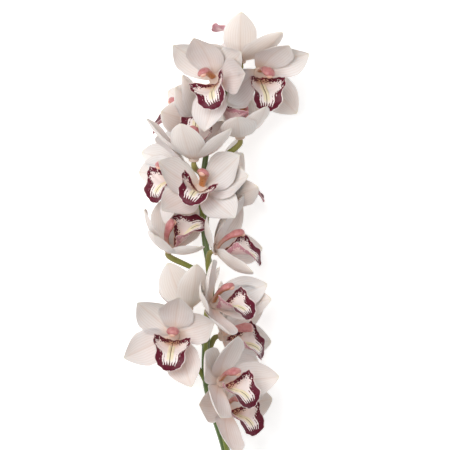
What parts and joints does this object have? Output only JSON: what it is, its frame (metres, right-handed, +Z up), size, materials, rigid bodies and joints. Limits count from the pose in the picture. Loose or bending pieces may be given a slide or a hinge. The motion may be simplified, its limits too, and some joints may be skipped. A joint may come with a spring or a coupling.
{
  "type": "cymbidium orchid stem",
  "caption": "A cut cymbidium orchid flower stem lying down, with broad pale blooms crowded along its upper part, each with a dark banded lip and an arched column",
  "frame": {"origin": "under the middle of the part's bounding box, on the surface that the stem lies on", "axes": "+Y runs up the flower stem to its tip, +Z is up from the surface, +X is to the right when the tip points away"},
  "size_m": [0.1749, 0.5579, 0.1363],
  "materials": {
    "tepal": "warm white, soft satin",
    "lip": "white edged in burgundy, soft satin",
    "column": "rose pink, waxy",
    "stem": "green, smooth"
  },
  "bodies": {
    "root": {"bloom_01_tepals": "tepal", "bloom_01_lip": "lip", "bloom_01_column": "column", "bloom_02_tepals": "tepal", "bloom_02_lip": "lip", "bloom_02_column": "column", "bloom_03_tepals": "tepal", "bloom_03_lip": "lip", "bloom_03_column": "column", "bloom_04_tepals": "tepal", "bloom_04_lip": "lip", "bloom_04_column": "column", "bloom_05_tepals": "tepal", "bloom_05_lip": "lip", "bloom_05_column": "column", "bloom_06_tepals": "tepal", "bloom_06_lip": "lip", "bloom_06_column": "column", "bloom_07_tepals": "tepal", "bloom_07_lip": "lip", "bloom_07_column": "column", "bloom_08_tepals": "tepal", "bloom_08_lip": "lip", "bloom_08_column": "column", "bloom_09_tepals": "tepal", "bloom_09_lip": "lip", "bloom_09_column": "column", "bloom_10_tepals": "tepal", "bloom_10_lip": "lip", "bloom_10_column": "column", "bloom_11_tepals": "tepal", "bloom_11_lip": "lip", "bloom_11_column": "column", "bloom_12_tepals": "tepal", "bloom_12_lip": "lip", "bloom_12_column": "column", "bloom_13_tepals": "tepal", "bloom_13_lip": "lip", "bloom_13_column": "column", "bloom_14_tepals": "tepal", "bloom_14_lip": "lip", "bloom_14_column": "column", "bloom_15_tepals": "tepal", "bloom_15_lip": "lip", "bloom_15_column": "column", "bloom_16_tepals": "tepal", "bloom_16_lip": "lip", "bloom_16_column": "column", "bloom_17_tepals": "tepal", "bloom_17_lip": "lip", "bloom_17_column": "column", "stem": "stem"}
  },
  "joints": []
}
